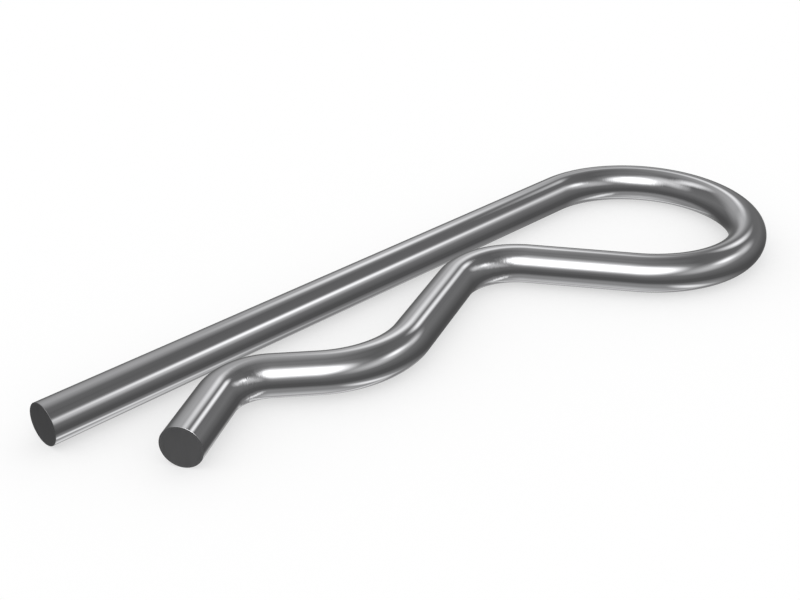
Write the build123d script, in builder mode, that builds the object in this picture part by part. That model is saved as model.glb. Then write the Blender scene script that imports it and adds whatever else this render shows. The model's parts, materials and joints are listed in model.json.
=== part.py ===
from build123d import *
import math
import os

# A hitch R clip: one length of round spring wire, bent in one plane. The straight leg goes through
# the cross hole of a hitch pin. The wire turns back in a round eye, and the waved leg grips the
# hitch pin from outside: its throat snaps over the pin, its seat holds the pin, its nose closes the
# seat, and its flared tip leads the clip on.
# The clip lies flat on its side. The straight leg runs along X with its cut end at -X, and the
# origin is under the middle of the clip. All sizes are in millimetres.

# The wire
wire_diameter = 4.0

# The straight leg, from its cut end to the start of the eye
leg_length = 67.7

# The bends, each measured to the middle of the wire
eye_bend_radius = 11.8
throat_bend_radius = 7.1
seat_bend_radius = 10.2
nose_bend_radius = 5.1

# The straight wire between the bends of the waved leg
eye_to_throat_run = 11.0
throat_to_seat_run = 11.9
seat_to_nose_run = 4.3

# The clear gap between the two legs at each bend of the waved leg
throat_gap = 2.4
seat_gap = 8.4
nose_gap = 2.4

# The flared tip, past the nose
flare_angle = 30.0
flare_length = 7.6

# The eye stands where the whole clip is centred over the origin
wire_radius = wire_diameter / 2
eye_x = (leg_length - eye_bend_radius - wire_radius) / 2
leg_y = eye_bend_radius

# The side of the wire that a bend's centre lies on, going from the straight leg's cut end to the tip
ON_THE_LEFT = Tangency.ENCLOSING
ON_THE_RIGHT = Tangency.OUTSIDE


def crest_centre_y(gap, radius):
    """The centre of a bend whose crest comes up to the straight leg and leaves this gap."""
    return leg_y - wire_diameter - gap - radius


def hollow_centre_y(gap, radius):
    """The centre of a bend whose hollow leaves this gap below the straight leg."""
    return leg_y - wire_diameter - gap + radius


def bend_circle(x, y, radius):
    """The circle that a bend follows, drawn whole as a guide for the straight runs beside it."""
    return CenterArc((x, y), radius, 0, 360, mode=Mode.PRIVATE)


def next_bend_circle(previous, run_length, y, radius):
    """The circle of the next bend, which turns the other way after a straight run of this length."""
    centre_distance = math.hypot(run_length, previous.radius + radius)
    climb = y - previous.arc_center.Y
    x = previous.arc_center.X - math.sqrt(centre_distance**2 - climb**2)
    return bend_circle(x, y, radius)


def straight_run(from_bend, to_bend):
    """The straight wire that touches two bends, each on its own side of the wire."""
    return ConstrainedLines(from_bend, to_bend).edge()


# The middle of the wire, drawn flat
with BuildLine() as centre_line:
    throat_y = crest_centre_y(throat_gap, throat_bend_radius)
    seat_y = hollow_centre_y(seat_gap, seat_bend_radius)
    nose_y = crest_centre_y(nose_gap, nose_bend_radius)
    eye_circle = bend_circle(eye_x, 0, eye_bend_radius)
    throat_circle = next_bend_circle(eye_circle, eye_to_throat_run, throat_y, throat_bend_radius)
    seat_circle = next_bend_circle(throat_circle, throat_to_seat_run, seat_y, seat_bend_radius)
    nose_circle = next_bend_circle(seat_circle, seat_to_nose_run, nose_y, nose_bend_radius)

    # The straight runs
    leg = Line((eye_x - leg_length, leg_y), (eye_x, leg_y))
    eye_run = straight_run((eye_circle, ON_THE_RIGHT), (throat_circle, ON_THE_LEFT))
    throat_run = straight_run((throat_circle, ON_THE_LEFT), (seat_circle, ON_THE_RIGHT))
    seat_run = straight_run((seat_circle, ON_THE_RIGHT), (nose_circle, ON_THE_LEFT))
    flare_start = nose_circle @ ((90 + flare_angle) / 360)
    flare = PolarLine(flare_start, flare_length, angle=180 + flare_angle)

    # The bends between them
    eye_bend = TangentArc(leg @ 1, eye_run @ 0, tangent=leg % 1)
    throat_bend = TangentArc(eye_run @ 1, throat_run @ 0, tangent=eye_run % 1)
    seat_bend = TangentArc(throat_run @ 1, seat_run @ 0, tangent=throat_run % 1)
    nose_bend = TangentArc(seat_run @ 1, flare @ 0, tangent=seat_run % 1)

# The wire itself, raised to lie on the ground, with both ends cut square
wire_path = centre_line.line.moved(Location((0, 0, wire_radius)))
with BuildPart() as r_clip:
    with BuildSketch(Plane(wire_path @ 0, z_dir=wire_path % 0)):
        Circle(wire_radius)
    sweep(path=wire_path)

r_clip.part.label = "r_clip"

os.makedirs("parts", exist_ok=True)
export_step(r_clip.part, "parts/r_clip.step")
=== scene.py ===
"""A hitch R clip in polished spring wire, on a pale studio floor.

The clip is one length of round wire, bent in one plane. Geometry Nodes round the corners of a
line into the bends and run the wire along it, in the place of the plain CAD clip. All sizes are
in metres.
"""

import json
import math
from itertools import pairwise

import bpy
import numpy as np
from bpy.props import FloatProperty, FloatVectorProperty, IntProperty, PointerProperty
from bpy.types import NodeSocket, Operator, Panel, PropertyGroup
from mathutils import Matrix, Vector


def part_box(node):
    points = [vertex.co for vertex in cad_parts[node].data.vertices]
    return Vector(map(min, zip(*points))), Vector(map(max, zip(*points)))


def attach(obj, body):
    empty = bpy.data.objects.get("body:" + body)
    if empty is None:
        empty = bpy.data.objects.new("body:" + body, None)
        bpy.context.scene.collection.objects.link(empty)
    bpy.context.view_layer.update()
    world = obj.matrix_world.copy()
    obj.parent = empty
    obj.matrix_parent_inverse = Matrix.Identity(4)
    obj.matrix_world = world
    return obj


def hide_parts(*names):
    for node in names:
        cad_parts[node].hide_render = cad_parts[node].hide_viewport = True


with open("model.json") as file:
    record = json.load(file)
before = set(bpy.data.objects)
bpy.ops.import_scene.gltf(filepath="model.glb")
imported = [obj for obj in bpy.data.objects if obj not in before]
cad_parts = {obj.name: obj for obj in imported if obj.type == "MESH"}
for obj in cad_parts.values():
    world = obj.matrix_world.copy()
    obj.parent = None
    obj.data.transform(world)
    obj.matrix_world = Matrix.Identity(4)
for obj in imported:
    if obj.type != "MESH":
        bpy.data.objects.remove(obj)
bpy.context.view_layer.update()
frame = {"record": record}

bl_info = {
    "name": "Hitch R Clip",
    "version": (1, 0, 0),
    "blender": (4, 5, 0),
    "location": "3D View > Sidebar > R Clip",
    "description": "Bends a hitch R clip from spring wire and sets a pale studio round it",
    "category": "Object",
}

MM = 0.001
CLIP_NODE = "r_clip"
LEG = next(m for m in frame["record"]["mounts"] if m["name"] == "straight_leg")
CLIP_LOW, CLIP_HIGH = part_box(CLIP_NODE)

# The longest turn that one rounded corner of the line may make, and the points that round it
CORNER_TURN = math.radians(80)
CORNER_POINTS = 128
# A face of the wire's wall has four corners, and one that closes an end has more
WALL_CORNERS = 4
# The radius that rounds each corner of the line
BEND_RADIUS = "bend_radius"
# The place of each point on the wire if the wire were straight: across it, across it, along it
STRAIGHT_WIRE = "straight_wire"
# How much a bend squeezes the wire at each point, as a share of the most that any bend does
SQUEEZE = "squeeze"


def length(name, description, millimetres):
    """A length that a user may change."""
    return FloatProperty(
        name=name,
        description=description,
        default=millimetres * MM,
        min=0.0,
        precision=5,
        subtype="DISTANCE",
        unit="LENGTH",
    )


def angle(name, description, degrees):
    """An angle that a user may change."""
    return FloatProperty(
        name=name,
        description=description,
        default=math.radians(degrees),
        subtype="ANGLE",
        unit="ROTATION",
    )


def share(name, description, value, top=1.0):
    """A plain number from nothing to its top."""
    return FloatProperty(
        name=name, description=description, default=value, min=0.0, max=top, subtype="FACTOR"
    )


def colour(name, description, value):
    """A colour that a user may change."""
    return FloatVectorProperty(
        name=name,
        description=description,
        default=value,
        size=3,
        min=0.0,
        max=1.0,
        subtype="COLOR",
    )


class RClipWire(PropertyGroup):
    """The wire and its bends, from the straight leg's cut end to the flared tip."""

    diameter: length("Wire diameter", "Thickness of the round wire", 2 * LEG["dims"]["r_mm"])
    leg_length: length(
        "Straight leg", "From the cut end to the start of the eye", LEG["dims"]["length_mm"]
    )
    eye_radius: length("Eye radius", "Radius of the round eye, to the middle of the wire", 11.8)
    eye_to_throat: length("Eye to throat", "Straight wire between the eye and the throat", 11.0)
    throat_radius: length("Throat radius", "Radius of the bend that snaps over the pin", 7.1)
    throat_gap: length("Throat gap", "Clear gap beside the straight leg at the throat", 2.4)
    throat_to_seat: length("Throat to seat", "Straight wire between throat and seat", 11.9)
    seat_radius: length("Seat radius", "Radius of the hollow that holds the pin", 10.2)
    seat_gap: length("Seat gap", "Clear gap beside the straight leg at the seat", 8.4)
    seat_to_nose: length("Seat to nose", "Straight wire between the seat and the nose", 4.3)
    nose_radius: length("Nose radius", "Radius of the bend that closes the seat", 5.1)
    nose_gap: length("Nose gap", "Clear gap beside the straight leg at the nose", 2.4)
    flare_angle: angle("Flare angle", "Between the flared tip and the straight leg", 30.0)
    flare_length: length("Flared tip", "Straight wire past the nose", 7.6)
    arris: length("Broken edge", "Width of the edge broken at each cut end", 0.02)
    ring_spacing: length("Ring spacing", "Distance between the rings of the mesh", 0.3)
    sides: IntProperty(
        name="Sides", description="Points in each ring of the mesh", default=96, min=12, max=256
    )


class RClipFinish(PropertyGroup):
    """The polished wire and its two cut ends."""

    steel: colour("Steel", "Colour of the polished wire", (0.25, 0.25, 0.255))
    polish: share("Polish", "Roughness of the polished wire", 0.06)
    unevenness: share("Unevenness", "How far lines and patches change the polished wire", 0.15)
    rim: share("Rim", "How much the metal brightens where it is seen at a glancing angle", 0.6)
    line_width: length("Line width", "Width of the fine lines left by the drawing die", 0.16)
    line_length: length("Line length", "Length of the lines left by the drawing die", 22.0)
    line_depth: length("Line depth", "Depth of the lines left by the drawing die", 0.0006)
    crease_size: length("Crease size", "Size of the creases on the inside of a bend", 0.9)
    crease_depth: length("Crease depth", "Depth of the creases where a bend is tightest", 0.08)
    patch_size: length("Patch size", "Size of the soft patches that handling leaves", 7.0)
    wear_width: length("Edge wear", "Width of the worn steel along a cut end's edge", 0.25)
    worn: share("Worn steel", "Brightness of worn steel, as a share of the polished wire's", 0.9)
    cut_steel: colour("Cut steel", "Colour of the sheared ends", (0.133, 0.133, 0.135))
    cut_roughness: share("Cut roughness", "Roughness of the sheared ends", 0.45)
    cut_unevenness: share("Cut unevenness", "How far marks and patches change a cut end", 0.2)
    shear_spacing: length("Shear marks", "Distance between the marks on a sheared end", 0.35)
    shear_depth: length("Shear depth", "Depth of the marks on a sheared end", 0.004)


class RClipStage(PropertyGroup):
    """The floor, the lamps and the camera."""

    floor_size: length("Floor size", "Width of the square floor", 6000.0)
    floor: colour("Floor", "Colour of the floor", (0.45, 0.45, 0.45))
    floor_fill: share("Floor fill", "Light added to the floor where it is seen", 0.55)
    sky: share("Sky", "Brightness of the even light from all round", 1.0, 10.0)
    seen_sky: share("Backdrop", "Brightness of the backdrop behind the clip", 1.0, 10.0)
    mirrored_sky: share("Mirrored backdrop", "Brightness of the backdrop in the metal", 1.0, 10.0)
    lamp_distance: length("Lamp distance", "From the clip to each lamp", 1000.0)
    lamp_level: share("Lamp level", "Brightness of all the lamps together", 1.0, 10.0)
    lens: FloatProperty(
        name="Lens",
        description="Focal length of the camera",
        default=0.057974,
        precision=5,
        unit="CAMERA",
    )


def add(tree, kind, inputs=None, **settings):
    """Adds a node to a tree, with its settings, and fills or links its inputs by name or number."""
    node = tree.nodes.new(kind)
    node.location = (200 * len(tree.nodes), 0)
    for name, value in settings.items():
        setattr(node, name, value)
    for socket, value in (inputs or {}).items():
        if isinstance(value, NodeSocket):
            tree.links.new(value, node.inputs[socket])
        else:
            node.inputs[socket].default_value = value
    return node


def maths(tree, operation, *values):
    """A sum of numbers or sockets in a tree."""
    return add(tree, "ShaderNodeMath", dict(enumerate(values)), operation=operation).outputs[0]


def node_group(name, kind, inputs, outputs):
    """A node group with named inputs and outputs, its input sockets, and a call that ends it."""
    tree = bpy.data.node_groups.new(name, kind)
    for socket_name, socket_type, default in inputs:
        socket = tree.interface.new_socket(socket_name, in_out="INPUT", socket_type=socket_type)
        if default is not None:
            socket.default_value = default
    for socket_name, socket_type in outputs:
        tree.interface.new_socket(socket_name, in_out="OUTPUT", socket_type=socket_type)
    start = tree.nodes.new("NodeGroupInput")

    def end(**values):
        add(tree, "NodeGroupOutput", {key.replace("_", " "): value for key, value in values.items()})
        return tree

    return tree, start.outputs, end


def captured(tree, geometry, kind, name, value):
    """Keeps a value on the points of a curve. Gives the curve and the kept value."""
    node = add(tree, "GeometryNodeCaptureAttribute")
    node.capture_items.new(kind, name)
    tree.links.new(geometry, node.inputs[0])
    tree.links.new(value, node.inputs[name])
    return node.outputs[0], node.outputs[name]


def bent_wire_tree():
    """Geometry Nodes that round a line's corners into bends and run a round wire along it."""
    tree, given, end = node_group(
        "bent_wire",
        "GeometryNodeTree",
        [
            ("Line", "NodeSocketGeometry", None),
            ("Wire Radius", "NodeSocketFloat", 0.002),
            ("Arris", "NodeSocketFloat", 0.00002),
            ("Ring Spacing", "NodeSocketFloat", 0.0003),
            ("Sides", "NodeSocketInt", 96),
            ("Wire Finish", "NodeSocketMaterial", None),
            ("Cut Finish", "NodeSocketMaterial", None),
        ],
        [("Wire", "NodeSocketGeometry")],
    )
    arris = given["Arris"]

    # The middle of the wire, rounded at its corners and kept short of both ends by the arris
    corner_radius = add(tree, "GeometryNodeInputNamedAttribute", {"Name": BEND_RADIUS})
    line = add(tree, "GeometryNodeMeshToCurve", {"Mesh": given["Line"]}).outputs[0]
    line = add(
        tree,
        "GeometryNodeFilletCurve",
        {
            "Curve": line,
            "Count": CORNER_POINTS,
            "Radius": corner_radius.outputs[0],
            "Limit Radius": False,
        },
        mode="POLY",
    ).outputs[0]
    whole_length = add(tree, "GeometryNodeCurveLength", {"Curve": line}).outputs[0]
    line = add(
        tree,
        "GeometryNodeTrimCurve",
        {"Curve": line, 4: arris, 5: maths(tree, "SUBTRACT", whole_length, arris)},
        mode="LENGTH",
    ).outputs[0]
    line = add(
        tree,
        "GeometryNodeResampleCurve",
        {"Curve": line, "Length": given["Ring Spacing"]},
        mode="LENGTH",
    ).outputs[0]
    line = add(tree, "GeometryNodeSetCurveNormal", {"Curve": line}, mode="Z_UP").outputs[0]
    run = add(tree, "GeometryNodeSplineParameter").outputs["Length"]
    line, along = captured(tree, line, "FLOAT", "Along", maths(tree, "ADD", run, arris))

    # The wire round it, with both ends closed
    ring = add(
        tree,
        "GeometryNodeCurvePrimitiveCircle",
        {"Resolution": given["Sides"], "Radius": given["Wire Radius"]},
    ).outputs["Curve"]
    place = add(tree, "GeometryNodeInputPosition").outputs[0]
    ring, across = captured(tree, ring, "VECTOR", "Across", place)
    wire = add(
        tree,
        "GeometryNodeCurveToMesh",
        {"Curve": line, "Profile Curve": ring, "Fill Caps": True},
    ).outputs[0]
    across = add(tree, "ShaderNodeSeparateXYZ", {0: across}).outputs
    straight = add(tree, "ShaderNodeCombineXYZ", {0: across[0], 1: across[1], 2: along})
    wire = add(
        tree,
        "GeometryNodeStoreNamedAttribute",
        {"Geometry": wire, "Name": STRAIGHT_WIRE, "Value": straight.outputs[0]},
        data_type="FLOAT_VECTOR",
        domain="POINT",
    ).outputs[0]

    # The broken edge of each cut end
    corners = add(tree, "GeometryNodeInputMeshFaceNeighbors").outputs["Vertex Count"]
    is_end = maths(tree, "GREATER_THAN", corners, WALL_CORNERS)
    raised = add(
        tree,
        "GeometryNodeExtrudeMesh",
        {"Mesh": wire, "Selection": is_end, "Offset Scale": arris},
        mode="FACES",
    ).outputs
    end_scale = maths(tree, "SUBTRACT", 1.0, maths(tree, "DIVIDE", arris, given["Wire Radius"]))
    wire = add(
        tree,
        "GeometryNodeScaleElements",
        {"Geometry": raised["Mesh"], "Selection": raised["Top"], "Scale": end_scale},
        domain="FACE",
    ).outputs[0]
    is_flat = maths(tree, "MAXIMUM", raised["Top"], raised["Side"])
    wire = add(
        tree,
        "GeometryNodeSetShadeSmooth",
        {"Geometry": wire, "Shade Smooth": maths(tree, "SUBTRACT", 1.0, is_flat)},
        domain="FACE",
    ).outputs[0]

    wire = add(
        tree, "GeometryNodeSetMaterial", {"Geometry": wire, "Material": given["Wire Finish"]}
    ).outputs[0]
    wire = add(
        tree,
        "GeometryNodeSetMaterial",
        {"Geometry": wire, "Selection": raised["Top"], "Material": given["Cut Finish"]},
    ).outputs[0]
    wire = add(tree, "GeometryNodeRealizeInstances", {"Geometry": wire}).outputs[0]
    return end(Wire=wire)


def bends(wire):
    """Each bend: the straight wire before it, how far it turns the wire anticlockwise as seen from
    above, and its radius. A run between two bends touches both, one on each side of it, so the
    turns follow from the runs and from how deep below the straight leg each bend's centre lies."""
    runs = (wire.leg_length, wire.eye_to_throat, wire.throat_to_seat, wire.seat_to_nose)
    radii = (wire.eye_radius, wire.throat_radius, wire.seat_radius, wire.nose_radius)
    depths = (
        wire.eye_radius,
        wire.diameter + wire.throat_gap + wire.throat_radius,
        wire.diameter + wire.seat_gap - wire.seat_radius,
        wire.diameter + wire.nose_gap + wire.nose_radius,
    )
    # The straight leg heads along +X. The eye turns the wire clockwise, and each bend after it
    # turns the wire the other way from the one before.
    headings = [math.tau]
    side = -1
    for run, (radius, next_radius), (depth, next_depth) in zip(
        runs[1:], pairwise(radii), pairwise(depths)
    ):
        apart = math.hypot(run, radius + next_radius)
        to_next_centre = math.pi - math.asin((depth - next_depth) / apart)
        headings.append(to_next_centre + side * math.atan2(radius + next_radius, run))
        side = -side
    headings.append(math.pi + wire.flare_angle)
    turns = [after - before for before, after in pairwise(headings)]
    return list(zip(runs, turns, radii))


def wire_length(wire):
    """The length of the whole wire along its middle."""
    to_nose = sum(straight + abs(whole_turn) * radius for straight, whole_turn, radius in bends(wire))
    return to_nose + wire.flare_length


def line_corners(wire):
    """The corners of the line that the wire would follow if its bends were sharp, with the
    radius that rounds each one. A bend of more than one corner's turn is shared out."""
    place = Vector((CLIP_LOW.x, CLIP_HIGH.y - wire.diameter / 2, CLIP_LOW.z + wire.diameter / 2))
    heading = 0.0
    corners = [(place.copy(), 0.0)]

    def forward(distance):
        return distance * Vector((math.cos(heading), math.sin(heading), 0.0))

    for straight, whole_turn, radius in bends(wire):
        place += forward(straight)
        parts = math.ceil(abs(whole_turn) / CORNER_TURN)
        shoulder = radius * math.tan(abs(whole_turn) / parts / 2)
        for _ in range(parts):
            place += forward(shoulder)
            corners.append((place.copy(), radius))
            heading += whole_turn / parts
            place += forward(shoulder)
    place += forward(wire.flare_length)
    corners.append((place.copy(), 0.0))
    return corners


def line_mesh(corners):
    """The line as a mesh of edges, with each corner's radius on its point."""
    mesh = bpy.data.meshes.new("wire_line")
    steps = [(i, i + 1) for i in range(len(corners) - 1)]
    mesh.from_pydata([place for place, _ in corners], steps, [])
    radius = mesh.attributes.new(BEND_RADIUS, "FLOAT", "POINT")
    radius.data.foreach_set("value", [radius for _, radius in corners])
    return mesh


def made_plain(obj, tree, values):
    """Runs Geometry Nodes on an object and keeps the result as its plain mesh."""
    modifier = obj.modifiers.new(tree.name, "NODES")
    modifier.node_group = tree
    for item in tree.interface.items_tree:
        if item.item_type == "SOCKET" and item.in_out == "INPUT" and item.name in values:
            modifier[item.identifier] = values[item.name]
    depsgraph = bpy.context.evaluated_depsgraph_get()
    mesh = bpy.data.meshes.new_from_object(obj.evaluated_get(depsgraph), depsgraph=depsgraph)
    obj.modifiers.remove(modifier)
    obj.data = mesh
    mesh.name = obj.name


def straight_places(mesh):
    """The place of each point on the straight wire: to its right, down from it and along it."""
    place = np.empty(3 * len(mesh.vertices))
    mesh.attributes[STRAIGHT_WIRE].data.foreach_get("vector", place)
    return place.reshape(-1, 3).T


def keep_squeeze(mesh, wire):
    """Keeps how much the bends squeeze the wire, as a share of the tightest one's squeeze. It grows
    from the middle of the wire to the inside of the bend, and is nothing on the outside."""
    across, _, along = straight_places(mesh)
    squeeze = np.zeros(len(mesh.vertices))
    start = 0.0
    tightest = min(radius for _, _, radius in bends(wire))
    for straight, whole_turn, radius in bends(wire):
        start += straight
        end = start + abs(whole_turn) * radius
        into_bend = np.minimum(along - start, end - along) / wire.diameter
        inwards = -across * math.copysign(2 / wire.diameter, whole_turn)
        tightness = (tightest / radius) ** 2
        squeeze += np.clip(into_bend, 0, 1) * np.clip(inwards, 0, 1) * tightness
        start = end
    mesh.attributes.new(SQUEEZE, "FLOAT", "POINT").data.foreach_set("value", squeeze)


def lay_flat(mesh, wire):
    """Gives the wire a map that lays its wall out flat, cut into rows of one length that fill a
    square sheet, with its two cut ends beside them. All lengths are real ones until the last step."""
    whole = wire_length(wire)
    girth = math.pi * wire.diameter
    rows = round(math.sqrt(whole / girth))
    row_length = whole / rows
    gap = wire.diameter / 8
    sheet = rows * (girth + gap)
    # The room for a cut end, and how much wider than it is its broken edge is drawn
    end_room = 1.5 * wire.diameter
    edge_spread = 1.15

    corner_point = np.empty(len(mesh.loops), int)
    mesh.loops.foreach_get("vertex_index", corner_point)
    corners = np.empty(len(mesh.polygons), int)
    mesh.polygons.foreach_get("loop_total", corners)
    first_corner = np.cumsum(corners) - corners
    smooth = np.empty(len(mesh.polygons), bool)
    mesh.polygons.foreach_get("use_smooth", smooth)
    across, down, along = straight_places(mesh)[:, corner_point]

    # The wall, in which a face that crosses the seam keeps its corners together
    share_round = np.arctan2(down, across) / math.tau
    share_round -= np.round(share_round - np.repeat(share_round[first_corner], corners))
    middle = np.add.reduceat(along, first_corner) / corners
    row = np.repeat(np.minimum(middle // row_length, rows - 1), corners)
    sheet_x = gap / 2 + along - row * row_length
    sheet_y = gap / 2 + (row + 0.5 - share_round) * girth + row * gap

    # The cut ends, each as a disc with its broken edge round it
    is_cut = np.repeat(~smooth, corners)
    on_face = np.zeros(len(mesh.vertices), bool)
    on_face[corner_point[np.repeat(corners > WALL_CORNERS, corners)]] = True
    spread = np.where(on_face[corner_point], 1.0, edge_spread)
    far_end = np.repeat(middle > whole / 2, corners)
    across = np.where(far_end, across, -across)
    sheet_x[is_cut] = (sheet - end_room / 2 + spread * across)[is_cut]
    sheet_y[is_cut] = (end_room * (0.5 + far_end) + spread * down)[is_cut]

    flat = mesh.uv_layers.new(name="OFBake")
    flat.data.foreach_set("uv", (np.stack([sheet_x, sheet_y], 1) / sheet).ravel())


def straight_place(tree):
    """The place on the straight wire as three numbers: across it, across it, and along it."""
    place = add(tree, "ShaderNodeAttribute", attribute_name=STRAIGHT_WIRE).outputs["Vector"]
    return add(tree, "ShaderNodeSeparateXYZ", {0: place}).outputs


def noise(tree, place, scale, detail):
    """Soft noise from 0 to 1."""
    return add(
        tree,
        "ShaderNodeTexNoise",
        {"Vector": place, "Scale": scale, "Detail": detail, "Roughness": 0.6},
    ).outputs[0]


def streaks_group():
    """Fine marks on the steel, each of a width and a length, from 0 to 1. The die leaves them along
    the wire, and the shears leave them across its ends."""
    tree, given, end = node_group(
        "streaks",
        "ShaderNodeTree",
        [
            ("Width", "NodeSocketFloat", 0.0002),
            ("Height", "NodeSocketFloat", 0.0002),
            ("Length", "NodeSocketFloat", 0.02),
        ],
        [("Streaks", "NodeSocketFloat")],
    )
    parts = straight_place(tree)
    stretched = add(
        tree,
        "ShaderNodeCombineXYZ",
        {
            0: maths(tree, "DIVIDE", parts[0], given["Width"]),
            1: maths(tree, "DIVIDE", parts[1], given["Height"]),
            2: maths(tree, "DIVIDE", parts[2], given["Length"]),
        },
    ).outputs[0]
    return end(Streaks=noise(tree, stretched, 1.0, 3.0))


def patches_group():
    """Broad soft patches, as handling leaves them on bare steel, from 0 to 1."""
    tree, given, end = node_group(
        "patches",
        "ShaderNodeTree",
        [("Size", "NodeSocketFloat", 0.006)],
        [("Patches", "NodeSocketFloat")],
    )
    place = add(tree, "ShaderNodeTexCoord").outputs["Object"]
    return end(Patches=noise(tree, place, maths(tree, "DIVIDE", 1.0, given["Size"]), 4.0))


def edge_wear_group():
    """The steel rubbed smooth along the edge of a cut end, from 0 to 1 at the edge."""
    tree, given, end = node_group(
        "edge_wear",
        "ShaderNodeTree",
        [
            ("Wire Radius", "NodeSocketFloat", 0.002),
            ("Wire Length", "NodeSocketFloat", 0.2),
            ("Width", "NodeSocketFloat", 0.0003),
        ],
        [("Wear", "NodeSocketFloat")],
    )
    parts = straight_place(tree)
    across = add(tree, "ShaderNodeCombineXYZ", {0: parts[0], 1: parts[1]}).outputs[0]
    from_axis = add(
        tree, "ShaderNodeVectorMath", {0: across}, operation="LENGTH"
    ).outputs["Value"]
    inwards = maths(tree, "SUBTRACT", given["Wire Radius"], from_axis)
    to_far_end = maths(tree, "SUBTRACT", given["Wire Length"], parts[2])
    along = maths(tree, "MINIMUM", parts[2], to_far_end)
    place = add(tree, "ShaderNodeTexCoord").outputs["Object"]
    ragged = noise(tree, place, maths(tree, "DIVIDE", 1.0, given["Width"]), 3.0)
    reach = maths(tree, "MULTIPLY", given["Width"], maths(tree, "MULTIPLY", ragged, 2.0))
    wear = add(
        tree,
        "ShaderNodeMapRange",
        {
            "Value": maths(tree, "ADD", inwards, along),
            "From Max": reach,
            "To Min": 1.0,
            "To Max": 0.0,
        },
        interpolation_type="SMOOTHSTEP",
    ).outputs[0]
    return end(Wear=wear)


def group_node(tree, group, **inputs):
    """Places a shader node group in a material with its own values, and gives its first output."""
    node = add(tree, "ShaderNodeGroup", node_tree=group)
    for name, value in inputs.items():
        node.inputs[name.replace("_", " ")].default_value = value
    return node.outputs[0]


def mixed(tree, amount, low, high):
    """A number that goes from low to high as the amount goes from 0 to 1."""
    return add(tree, "ShaderNodeMix", {0: amount, 2: low, 3: high}, data_type="FLOAT").outputs[0]


def mixed_colour(tree, amount, low, high):
    """A colour that goes from low to high as the amount goes from 0 to 1."""
    return add(tree, "ShaderNodeMix", {0: amount, 6: low, 7: high}, data_type="RGBA").outputs[2]


def shade(steel, factor):
    """The steel's colour, made lighter or darker."""
    return (*(min(1.0, part * factor) for part in steel), 1.0)


def bumped(tree, height, depth, **normal):
    """The normal of a surface that a height from 0 to 1 raises by up to a depth."""
    inputs = {"Strength": 1.0, "Distance": depth, "Height": height, **normal}
    return add(tree, "ShaderNodeBump", inputs).outputs[0]


def steel_finish(name, look, finish, groups, wire):
    """Bare steel with its marks, soft patches, worn edges and creases. The look gives its colour
    and roughness, how far the marks and patches change both, and the marks' size and depth."""
    material = bpy.data.materials.new(name)
    material.use_nodes = True
    tree = material.node_tree
    shader = tree.nodes["Principled BSDF"]
    shader.inputs["Metallic"].default_value = 1.0
    shader.inputs["Specular Tint"].default_value = (finish.rim, finish.rim, finish.rim, 1.0)

    width, height, run = look["mark_size"]
    marks = group_node(tree, groups["streaks"], Width=width, Height=height, Length=run)
    patches = group_node(tree, groups["patches"], Size=finish.patch_size)
    wear = group_node(
        tree,
        groups["edge_wear"],
        Wire_Radius=wire.diameter / 2,
        Wire_Length=wire_length(wire),
        Width=finish.wear_width,
    )
    uneven = maths(tree, "MULTIPLY", maths(tree, "ADD", marks, patches), 0.5)
    spread = look["unevenness"]
    dark = shade(look["steel"], 1 - spread)
    light = shade(look["steel"], 1 + spread)
    smooth = (1 - 2 * spread) * look["roughness"]
    rough = (1 + 2 * spread) * look["roughness"]
    base_colour = mixed_colour(
        tree, wear, mixed_colour(tree, uneven, dark, light), shade(finish.steel, finish.worn)
    )
    roughness = mixed(tree, wear, mixed(tree, uneven, smooth, rough), 2 * finish.polish)

    wide = 2 * finish.crease_size
    creases = group_node(
        tree, groups["streaks"], Width=wide, Height=wide, Length=finish.crease_size
    )
    squeeze = add(tree, "ShaderNodeAttribute", attribute_name=SQUEEZE).outputs["Fac"]
    creased = bumped(tree, maths(tree, "MULTIPLY", creases, squeeze), finish.crease_depth)
    marked = bumped(tree, marks, look["mark_depth"], Normal=creased)

    tree.links.new(base_colour, shader.inputs["Base Color"])
    tree.links.new(roughness, shader.inputs["Roughness"])
    tree.links.new(marked, shader.inputs["Normal"])
    return material


def wire_finish(finish, groups, wire):
    """Polished spring steel with faint lines along the wire."""
    look = {
        "steel": finish.steel,
        "roughness": finish.polish,
        "unevenness": finish.unevenness,
        "mark_size": (finish.line_width, finish.line_width, finish.line_length),
        "mark_depth": finish.line_depth,
    }
    return steel_finish("polished_wire", look, finish, groups, wire)


def cut_finish(finish, groups, wire):
    """The duller steel of a sheared end, with shallow marks across it."""
    look = {
        "steel": finish.cut_steel,
        "roughness": finish.cut_roughness,
        "unevenness": finish.cut_unevenness,
        "mark_size": (finish.shear_spacing, 8 * finish.shear_spacing, finish.line_length),
        "mark_depth": finish.shear_depth,
    }
    return steel_finish("sheared_end", look, finish, groups, wire)


class RCLIP_OT_bend_wire(Operator):
    """Bend the clip from one length of wire and give it its finish"""

    bl_idname = "r_clip.bend_wire"
    bl_label = "Bend the wire"

    def execute(self, context):
        wire = context.scene.r_clip_wire
        finish = context.scene.r_clip_finish
        groups = {
            "streaks": streaks_group(),
            "patches": patches_group(),
            "edge_wear": edge_wear_group(),
        }
        clip = bpy.data.objects.new("bent_wire", line_mesh(line_corners(wire)))
        context.scene.collection.objects.link(clip)
        made_plain(
            clip,
            bent_wire_tree(),
            {
                "Wire Radius": wire.diameter / 2,
                "Arris": wire.arris,
                "Ring Spacing": wire.ring_spacing,
                "Sides": wire.sides,
                "Wire Finish": wire_finish(finish, groups, wire),
                "Cut Finish": cut_finish(finish, groups, wire),
            },
        )
        keep_squeeze(clip.data, wire)
        lay_flat(clip.data, wire)
        # In its own metal the clip would draw hard black lines along both legs
        clip.visible_glossy = False
        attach(clip, "root")
        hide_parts(CLIP_NODE)
        return {"FINISHED"}


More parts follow.
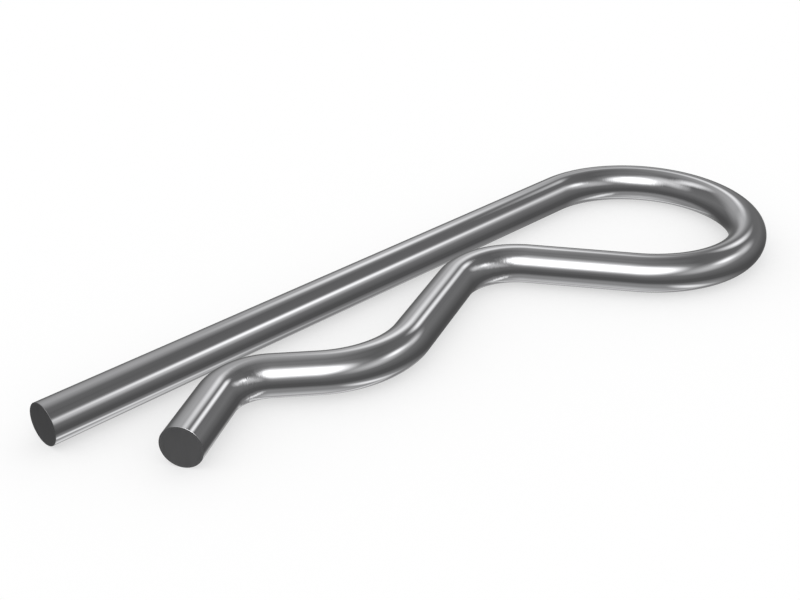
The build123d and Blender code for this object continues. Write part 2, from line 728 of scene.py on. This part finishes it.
# The studio, set in steps of 5 degrees. Each lamp: its azimuth from +X towards +Y, its height over
# the horizon, its width and its height as seen from the clip, and how far it is turned about its
# own middle, all in degrees, then its brightness at its middle. The last three stand under the
# floor, as in a light table.
LAMPS = {
    "key_softbox": (-135, 40, 80, 60, 25, 6.0),
    "key_spill": (-130, 40, 100, 80, 40, 1.1),
    "back_softbox": (175, 50, 80, 55, 60, 2.0),
    "leg_strip": (-50, 30, 40, 20, 0, 2.5),
    "leg_strip_far": (-25, 25, 40, 25, 10, 1.2),
    "tip_lamp": (10, 35, 30, 20, -45, 3.2),
    "top_lamp": (40, 35, 25, 35, 25, 2.2),
    "side_fill": (60, 35, 75, 95, 0, 0.9),
    "eye_lamp": (115, 60, 60, 30, 5, 2.8),
    "low_fill": (-65, 25, 100, 40, 10, 1.4),
    "far_low_fill": (40, 15, 45, 30, 10, 0.9),
    "table_lamp": (-60, -60, 65, 20, -5, 2.4),
    "far_table_lamp": (40, -65, 75, 20, 20, 2.0),
    "tip_table_lamp": (35, -45, 40, 15, 0, 1.0),
}

# How bright the metal sees the backdrop, by the height over the horizon in degrees, from straight
# below to straight overhead
BACKDROP_LEVELS = {-90: 2.0, -65: 0.9, -50: 0.9, -35: 0.3, -20: 0.3, 10: 0.6, 60: 0.4, 90: 0.7}

# Where the photograph was taken from, in metres, and the camera's pan, tilt and roll, in degrees
CAMERA_PLACE = (-0.083225, -0.072736, 0.062397)
CAMERA_TURN = (-45.075, -28.395, 0.066)


def soften(light):
    """Makes a lamp fade smoothly from its middle to an oval edge, as a diffuser cloth does."""
    light.use_nodes = True
    tree = light.node_tree
    place = add(tree, "ShaderNodeNewGeometry").outputs["Parametric"]
    centred = add(
        tree,
        "ShaderNodeVectorMath",
        {0: place, 1: (2.0, 2.0, 0.0), 2: (-1.0, -1.0, 0.0)},
        operation="MULTIPLY_ADD",
    ).outputs[0]
    from_middle = add(
        tree, "ShaderNodeVectorMath", {0: centred}, operation="LENGTH"
    ).outputs["Value"]
    level = add(
        tree,
        "ShaderNodeMapRange",
        {"Value": from_middle, "To Min": 1.0, "To Max": 0.0},
        interpolation_type="SMOOTHSTEP",
    ).outputs[0]
    tree.links.new(level, tree.nodes["Emission"].inputs["Strength"])


def add_lamp(name, azimuth, height, width, tall, roll, brightness, distance):
    """A soft lamp that faces the clip, of a size and a brightness as seen from there."""
    light = bpy.data.lights.new(name, "AREA")
    light.shape = "RECTANGLE"
    light.size = 2 * distance * math.tan(math.radians(width / 2))
    light.size_y = 2 * distance * math.tan(math.radians(tall / 2))
    light.energy = brightness * math.pi * light.size * light.size_y
    soften(light)
    lamp = bpy.data.objects.new(name, light)
    # Its width goes along Y and its own height along Z, and it shines from +X until it is turned
    upright = Matrix(((0, 0, 1, 0), (1, 0, 0, 0), (0, 1, 0, 0), (0, 0, 0, 1)))
    aim = (
        Matrix.Rotation(math.radians(azimuth), 4, "Z")
        @ Matrix.Rotation(-math.radians(height), 4, "Y")
        @ Matrix.Rotation(math.radians(roll), 4, "X")
        @ upright
    )
    lamp.matrix_world = aim @ Matrix.Translation((0, 0, distance))
    lamp.visible_diffuse = False
    bpy.context.scene.collection.objects.link(lamp)


def seen_directly(tree):
    """1 where the camera, a reflection or a clear material looks, and 0 for the light itself."""
    path = add(tree, "ShaderNodeLightPath").outputs
    seen = maths(tree, "MAXIMUM", path["Is Camera Ray"], path["Is Glossy Ray"])
    return maths(tree, "MAXIMUM", seen, path["Is Transmission Ray"])


def floor_finish(stage):
    """A plain pale floor that keeps the clip's shadow and is white where it is open."""
    material = bpy.data.materials.new("pale_floor")
    material.use_nodes = True
    tree = material.node_tree
    shader = tree.nodes["Principled BSDF"]
    shader.inputs["Base Color"].default_value = (*stage.floor, 1.0)
    shader.inputs["Roughness"].default_value = 1.0
    shader.inputs["Specular IOR Level"].default_value = 0.0
    shader.inputs["Emission Color"].default_value = (1.0, 1.0, 1.0, 1.0)
    fill = maths(tree, "MULTIPLY", seen_directly(tree), stage.floor_fill)
    tree.links.new(fill, shader.inputs["Emission Strength"])
    return material


def add_floor(stage):
    """The floor, which the clip lies on."""
    half = stage.floor_size / 2
    mesh = bpy.data.meshes.new("floor")
    corners = [(-half, -half, 0), (half, -half, 0), (half, half, 0), (-half, half, 0)]
    mesh.from_pydata(corners, [], [(0, 1, 2, 3)])
    mesh.materials.append(floor_finish(stage))
    floor = bpy.data.objects.new("floor", mesh)
    # The lamps under it shine through, and the metal sees the backdrop's lower half in its place
    floor.visible_glossy = False
    floor.visible_shadow = False
    bpy.context.scene.collection.objects.link(floor)


def mirrored_backdrop(tree):
    """The brightness of the backdrop as the metal sees it, by the height over the horizon."""
    towards = add(tree, "ShaderNodeTexCoord").outputs["Generated"]
    height = add(tree, "ShaderNodeSeparateXYZ", {0: towards}).outputs["Z"]
    angle_share = maths(
        tree, "MULTIPLY_ADD", maths(tree, "ARCSINE", height), 1 / math.pi, 0.5
    )
    ramp = add(tree, "ShaderNodeValToRGB", {0: angle_share})
    steps = ramp.color_ramp.elements
    for degrees in list(BACKDROP_LEVELS)[1:-1]:
        steps.new((90 + degrees) / 180)
    brightest = max(BACKDROP_LEVELS.values())
    for step, level in zip(steps, BACKDROP_LEVELS.values()):
        grey = level / brightest
        step.color = (grey, grey, grey, 1.0)
    return maths(tree, "MULTIPLY", ramp.outputs[0], brightest)


def add_sky(stage):
    """Even light from all round, with a white backdrop behind the clip and a shaded one in its
    reflections, where its lower half is the lit floor."""
    world = bpy.data.worlds.new("studio")
    world.use_nodes = True
    tree = world.node_tree
    mirrored = maths(tree, "MULTIPLY", mirrored_backdrop(tree), stage.mirrored_sky)
    path = add(tree, "ShaderNodeLightPath").outputs
    in_mirror = maths(tree, "MAXIMUM", path["Is Glossy Ray"], path["Is Transmission Ray"])
    unseen = mixed(tree, in_mirror, stage.sky, mirrored)
    strength = mixed(tree, path["Is Camera Ray"], unseen, stage.seen_sky)
    background = tree.nodes["Background"]
    background.inputs["Color"].default_value = (1.0, 1.0, 1.0, 1.0)
    tree.links.new(strength, background.inputs["Strength"])
    bpy.context.scene.world = world


def add_camera(stage):
    """The camera where the photograph was taken from."""
    camera = bpy.data.objects.new("camera", bpy.data.cameras.new("camera"))
    camera.data.lens = 1000 * stage.lens
    camera.data.sensor_width = 36.0
    camera.data.clip_start = 0.001
    camera.data.clip_end = 20.0
    pan, tilt, roll = (math.radians(degrees) for degrees in CAMERA_TURN)
    level = math.radians(90)
    camera.matrix_world = (
        Matrix.Translation(CAMERA_PLACE)
        @ Matrix.Rotation(pan, 4, "Z")
        @ Matrix.Rotation(level + tilt, 4, "X")
        @ Matrix.Rotation(roll, 4, "Z")
    )
    bpy.context.scene.collection.objects.link(camera)
    bpy.context.scene.camera = camera


class RCLIP_OT_set_stage(Operator):
    """Set the camera, the floor, the sky and the lamps"""

    bl_idname = "r_clip.set_stage"
    bl_label = "Set the stage"

    def execute(self, context):
        stage = context.scene.r_clip_stage
        add_camera(stage)
        add_floor(stage)
        add_sky(stage)
        for name, (*shape, brightness) in LAMPS.items():
            add_lamp(name, *shape, brightness * stage.lamp_level, stage.lamp_distance)
        context.scene.view_settings.view_transform = "Standard"
        return {"FINISHED"}


class RCLIP_PT_panel(Panel):
    """The clip's sizes, finish and stage in the sidebar"""

    bl_idname = "RCLIP_PT_panel"
    bl_label = "Hitch R Clip"
    bl_space_type = "VIEW_3D"
    bl_region_type = "UI"
    bl_category = "R Clip"

    def draw(self, context):
        scene = context.scene
        for group, operator in (
            (scene.r_clip_wire, None),
            (scene.r_clip_finish, RCLIP_OT_bend_wire),
            (scene.r_clip_stage, RCLIP_OT_set_stage),
        ):
            box = self.layout.box()
            for name in group.__annotations__:
                box.prop(group, name)
            if operator:
                box.operator(operator.bl_idname)


CLASSES = (
    RClipWire,
    RClipFinish,
    RClipStage,
    RCLIP_OT_bend_wire,
    RCLIP_OT_set_stage,
    RCLIP_PT_panel,
)


def register():
    for entry in CLASSES:
        bpy.utils.register_class(entry)
    bpy.types.Scene.r_clip_wire = PointerProperty(type=RClipWire)
    bpy.types.Scene.r_clip_finish = PointerProperty(type=RClipFinish)
    bpy.types.Scene.r_clip_stage = PointerProperty(type=RClipStage)


def unregister():
    del bpy.types.Scene.r_clip_stage
    del bpy.types.Scene.r_clip_finish
    del bpy.types.Scene.r_clip_wire
    for entry in reversed(CLASSES):
        bpy.utils.unregister_class(entry)


def main():
    register()
    bpy.ops.r_clip.set_stage()
    bpy.ops.r_clip.bend_wire()


if __name__ == "__main__":
    main()
